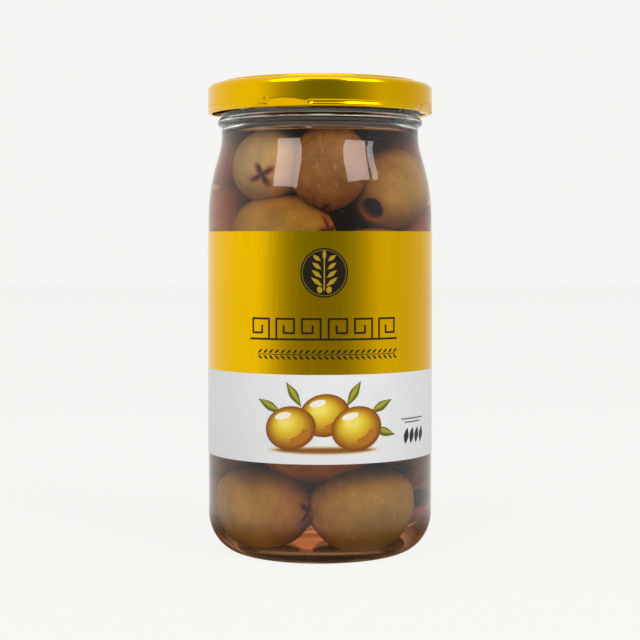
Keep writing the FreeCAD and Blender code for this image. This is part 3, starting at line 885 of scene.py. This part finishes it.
def make_label():
    """The strip drawn flat, given its thickness and rolled round the jar."""
    around = 2 * math.pi * LABEL_FACE - LABEL_GAP
    tall = LABEL[1].z - LABEL[0].z
    bpy.ops.object.select_all(action="DESELECT")
    bpy.ops.mesh.primitive_grid_add(x_subdivisions=200, y_subdivisions=26, size=1)
    label = bpy.context.object
    label.name = label.data.name = "label_paper"
    for vertex in label.data.vertices:
        vertex.co = (vertex.co.x * around, LABEL[0].z + (vertex.co.y + 0.5) * tall, 0)
    for face in label.data.polygons:
        face.material_index = 0 if face.center.y > GOLD_FOOT else 1
    bpy.ops.object.mode_set(mode="EDIT")
    bpy.ops.mesh.select_all(action="SELECT")
    bpy.ops.mesh.extrude_region_move(
        TRANSFORM_OT_translate={"value": (0, 0, -LABEL_THICK * 0.9)})
    bpy.ops.mesh.select_all(action="SELECT")
    bpy.ops.mesh.normals_make_consistent(inside=False)
    bpy.ops.object.mode_set(mode="OBJECT")
    wrap(label, LABEL_FACE)
    bpy.ops.object.shade_smooth_by_angle(angle=math.radians(40))
    label.data.materials.append(brushed_foil())
    label.data.materials.append(coated_paper())
    return label


label = make_label()
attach(label, "root")
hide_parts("label")


# ---------------------------------------------------------------------------------------------
# Print. Ink on the label: on the gold a round medallion with a sprig, a key-pattern band and a
# row of small leaves; on the white three golden olives, and two lines over four leaves. Every
# shape is drawn flat, a few hundredths of a millimetre proud, and rolled on to the label.
INK_DARK = "1E1704"
INK_SOFT = "6B5A16"
INK_STEP = 0.75 * MM
INK_SUNK = 0.02 * MM


def coloured(shape, lift, ink):
    """Gives a flat shape its lift and its ink."""
    for vertex in shape.data.vertices:
        vertex.co.z = lift * MM
    tone = shape.data.attributes.new("ink", "FLOAT_COLOR", "POINT")
    tone.data.foreach_set("color", list(linear(ink)) * len(shape.data.vertices))
    return shape


def bar(across, up, wide, tall, ink=INK_DARK, lift=0.02):
    """A rectangle by its middle and size in millimetres."""
    bpy.ops.object.select_all(action="DESELECT")
    bpy.ops.mesh.primitive_plane_add(size=1)
    shape = bpy.context.object
    for vertex in shape.data.vertices:
        vertex.co = ((across + vertex.co.x * wide) * MM, (up + vertex.co.y * tall) * MM, 0)
    return coloured(shape, lift, ink)


def leaf(across, up, wide, tall, turn=0, ink=INK_DARK, lift=0.02, point=0.0, points=32):
    """An oval, or with a point a leaf, by its middle, size and turn in degrees."""
    bpy.ops.object.select_all(action="DESELECT")
    bpy.ops.mesh.primitive_circle_add(vertices=points, radius=0.5, fill_type="NGON")
    shape = bpy.context.object
    cos, sin = math.cos(math.radians(turn)), math.sin(math.radians(turn))
    for vertex in shape.data.vertices:
        x, y = vertex.co.x, vertex.co.y
        y *= 1 - point * abs(2 * x) ** 1.5
        x, y = x * wide, y * tall
        vertex.co = ((across + x * cos - y * sin) * MM, (up + x * sin + y * cos) * MM, 0)
    return coloured(shape, lift, ink)


def medallion():
    """A dark round with a fine line inside its edge, and a sprig with four pairs of leaves."""
    across, up, sprig = 1.2, 82.9, "A88A1C"
    shapes = [leaf(across, up, 13.4, 13.8, points=64)]
    shapes += [leaf(across, up, 12.6, 13.0, ink=INK_SOFT, lift=0.03, points=64)]
    shapes += [leaf(across, up, 12.0, 12.4, lift=0.04, points=64)]
    shapes += [bar(across, up - 0.3, 0.35, 9.2, sprig, 0.05)]
    for side in (-1, 1):
        for row in range(4):
            shapes += [leaf(across + side * 2.1, up - 2.5 + row * 2.2, 4.0 - 0.4 * row, 1.2,
                            side * 38, sprig, 0.05, 0.8)]
        shapes += [leaf(across + side * 1.3, up - 4.7, 1.5, 1.9, -side * 20, sprig, 0.05)]
    shapes += [leaf(across, up + 5.0, 1.0, 2.4, 0, sprig, 0.05)]
    return shapes


def key_band():
    """A key pattern: square hooks that stand in facing pairs on one long line."""
    left, foot, pitch = -17.33, 64.1, 7.45
    stroke, tall, half = 0.58, 6.2, 2.6
    shapes = [bar(1.3, foot + 0.25, 44.6, stroke)]
    for hook in range(6):
        middle = left + hook * pitch
        side = 1 if hook % 2 else -1
        shapes += [bar(middle - side * half, foot + tall / 2, stroke, tall)]
        shapes += [bar(middle, foot + tall - 0.25, 5.7, stroke)]
        shapes += [bar(middle + side * half, foot + 4.1, stroke, 4.2)]
        shapes += [bar(middle + side * 1.2, foot + 2.0, 3.2, stroke)]
        shapes += [bar(middle - side * 0.4, foot + 3.0, stroke, 2.4)]
    return shapes


def leaf_row():
    """Small leaves in pairs along one thin line."""
    left, up, pitch = -17.6, 60.1, 1.76
    shapes = [bar(2.3, up, 41.4, 0.22)]
    for pair in range(24):
        for side in (-1, 1):
            shapes += [leaf(left + pair * pitch, up + side * 0.85, 1.9, 0.66, side * 42,
                            point=0.7, points=12)]
    return shapes


def between(stops, share):
    """A hex colour part of the way along a row of hex colours."""
    place = share * (len(stops) - 1)
    first = min(int(place), len(stops) - 2)
    part = place - first
    mixed = [round(int(stops[first][i:i + 2], 16) * (1 - part)
                   + int(stops[first + 1][i:i + 2], 16) * part) for i in (0, 2, 4)]
    return "%02X%02X%02X" % tuple(mixed)


def drawn_olive(across, up, size, lift):
    """A golden olive: ovals one on another, from an amber edge to a yellow top and a glint."""
    edge_to_top = ["8A4E10", "B27E14", "D2AC20", "E6CA3A", "F2E06A"]
    shapes = []
    for layer in range(9):
        share = layer / 8
        wide, tall = 15.6 * size * (1 - 0.74 * share), 13.0 * size * (1 - 0.76 * share)
        shapes += [leaf(across - 1.6 * share * size, up + 1.9 * share * size, wide, tall, 10,
                        between(edge_to_top, share), lift + 0.006 * layer)]
    shapes += [leaf(across + 3.0 * size, up - 2.6 * size, 7.0 * size, 3.6 * size, 34, "B4701C",
                    lift + 0.02)]
    shapes += [leaf(across - 2.2 * size, up + 3.6 * size, 5.2 * size, 2.0 * size, 14, "F6EFE2",
                    lift + 0.06)]
    return shapes


def olive_picture():
    """Three golden olives with five leaves behind them, over a soft brown shadow."""
    shapes = []
    for layer in range(4):
        share = layer / 3
        shapes += [leaf(1.2, 33.4, 33 - 7 * share, 2.8 - 1.6 * share, 0,
                        between(["E4DED2", "C8A878", "8A5A24"], share), 0.02 + 0.006 * layer)]
    for across, up, turn in ((-14.5, 45.6, 152), (-7.4, 49.0, 122), (9.6, 49.2, 60),
                             (18.0, 45.4, 26), (19.0, 38.2, -16)):
        shapes += [leaf(across, up, 8.2, 2.6, turn, "6A6E14", 0.03, 0.8)]
        shapes += [leaf(across, up + 0.3, 6.8, 1.1, turn, "A8A436", 0.04, 0.8)]
    shapes += drawn_olive(1.4, 43.2, 0.92, 0.05)
    shapes += drawn_olive(-8.4, 39.6, 0.94, 0.12)
    shapes += drawn_olive(10.6, 39.4, 0.96, 0.12)
    return shapes


def side_leaves():
    """Two thin lines over four upright leaves, at the right of the white part."""
    line_grey, leaf_grey = "5A5A5C", "242426"
    shapes = [bar(30.6, 41.2, 10.4, 0.35, line_grey), bar(30.6, 40.2, 7.4, 0.35, line_grey)]
    for place in range(4):
        shapes += [leaf(27.6 + place * 2.5, 36.3, 4.6, 2.1, 78, leaf_grey, point=0.6)]
    return shapes


def printing_ink():
    """Offset ink under varnish, its colour from the drawing."""
    made, tree, out = material("offset ink under varnish")
    ink = add(tree, "ShaderNodeAttribute", attribute_name="ink").outputs["Color"]
    where = add(tree, "ShaderNodeTexCoord").outputs["Object"]
    grain = add(tree, "ShaderNodeTexNoise", {"Vector": where, "Scale": 1 / (0.4 * MM),
                                             "Detail": 2.0})
    level = add(tree, "ShaderNodeMix", {"Factor": grain.outputs["Fac"],
                                        "A": (0.85, 0.85, 0.85, 1), "B": (1.12, 1.12, 1.12, 1)},
                data_type="RGBA")
    tone = add(tree, "ShaderNodeMix", {"Factor": 1.0, "A": ink, "B": level.outputs["Result"]},
               data_type="RGBA", blend_type="MULTIPLY")
    film = add(tree, "ShaderNodeBsdfPrincipled", {"Base Color": tone.outputs["Result"],
                                                  "Roughness": 0.3, "Specular IOR Level": 0.3})
    tree.links.new(film.outputs[0], out.inputs["Surface"])
    return made


def print_label():
    """Joins the shapes, cuts them into strips that can bend, and rolls them round the jar."""
    shapes = medallion() + key_band() + leaf_row() + olive_picture() + side_leaves()
    bpy.ops.object.select_all(action="DESELECT")
    for shape in shapes:
        shape.select_set(True)
    bpy.context.view_layer.objects.active = shapes[0]
    bpy.ops.object.join()
    ink = bpy.context.object
    ink.name = ink.data.name = "label_print"
    bpy.ops.object.mode_set(mode="EDIT")
    for step in range(-32, 54):
        bpy.ops.mesh.select_all(action="SELECT")
        bpy.ops.mesh.bisect(plane_co=(step * INK_STEP, 0, 0), plane_no=(1, 0, 0))
    bpy.ops.mesh.select_all(action="SELECT")
    bpy.ops.mesh.extrude_region_move(TRANSFORM_OT_translate={"value": (0, 0, -1 * MM)})
    bpy.ops.mesh.select_all(action="SELECT")
    bpy.ops.mesh.normals_make_consistent(inside=False)
    bpy.ops.object.mode_set(mode="OBJECT")
    for vertex in ink.data.vertices:
        vertex.co.z = max(vertex.co.z, -INK_SUNK)
    wrap(ink, LABEL_FACE)
    return ink


ink = print_label()
ink.data.materials.append(printing_ink())
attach(ink, "root")
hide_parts("label")
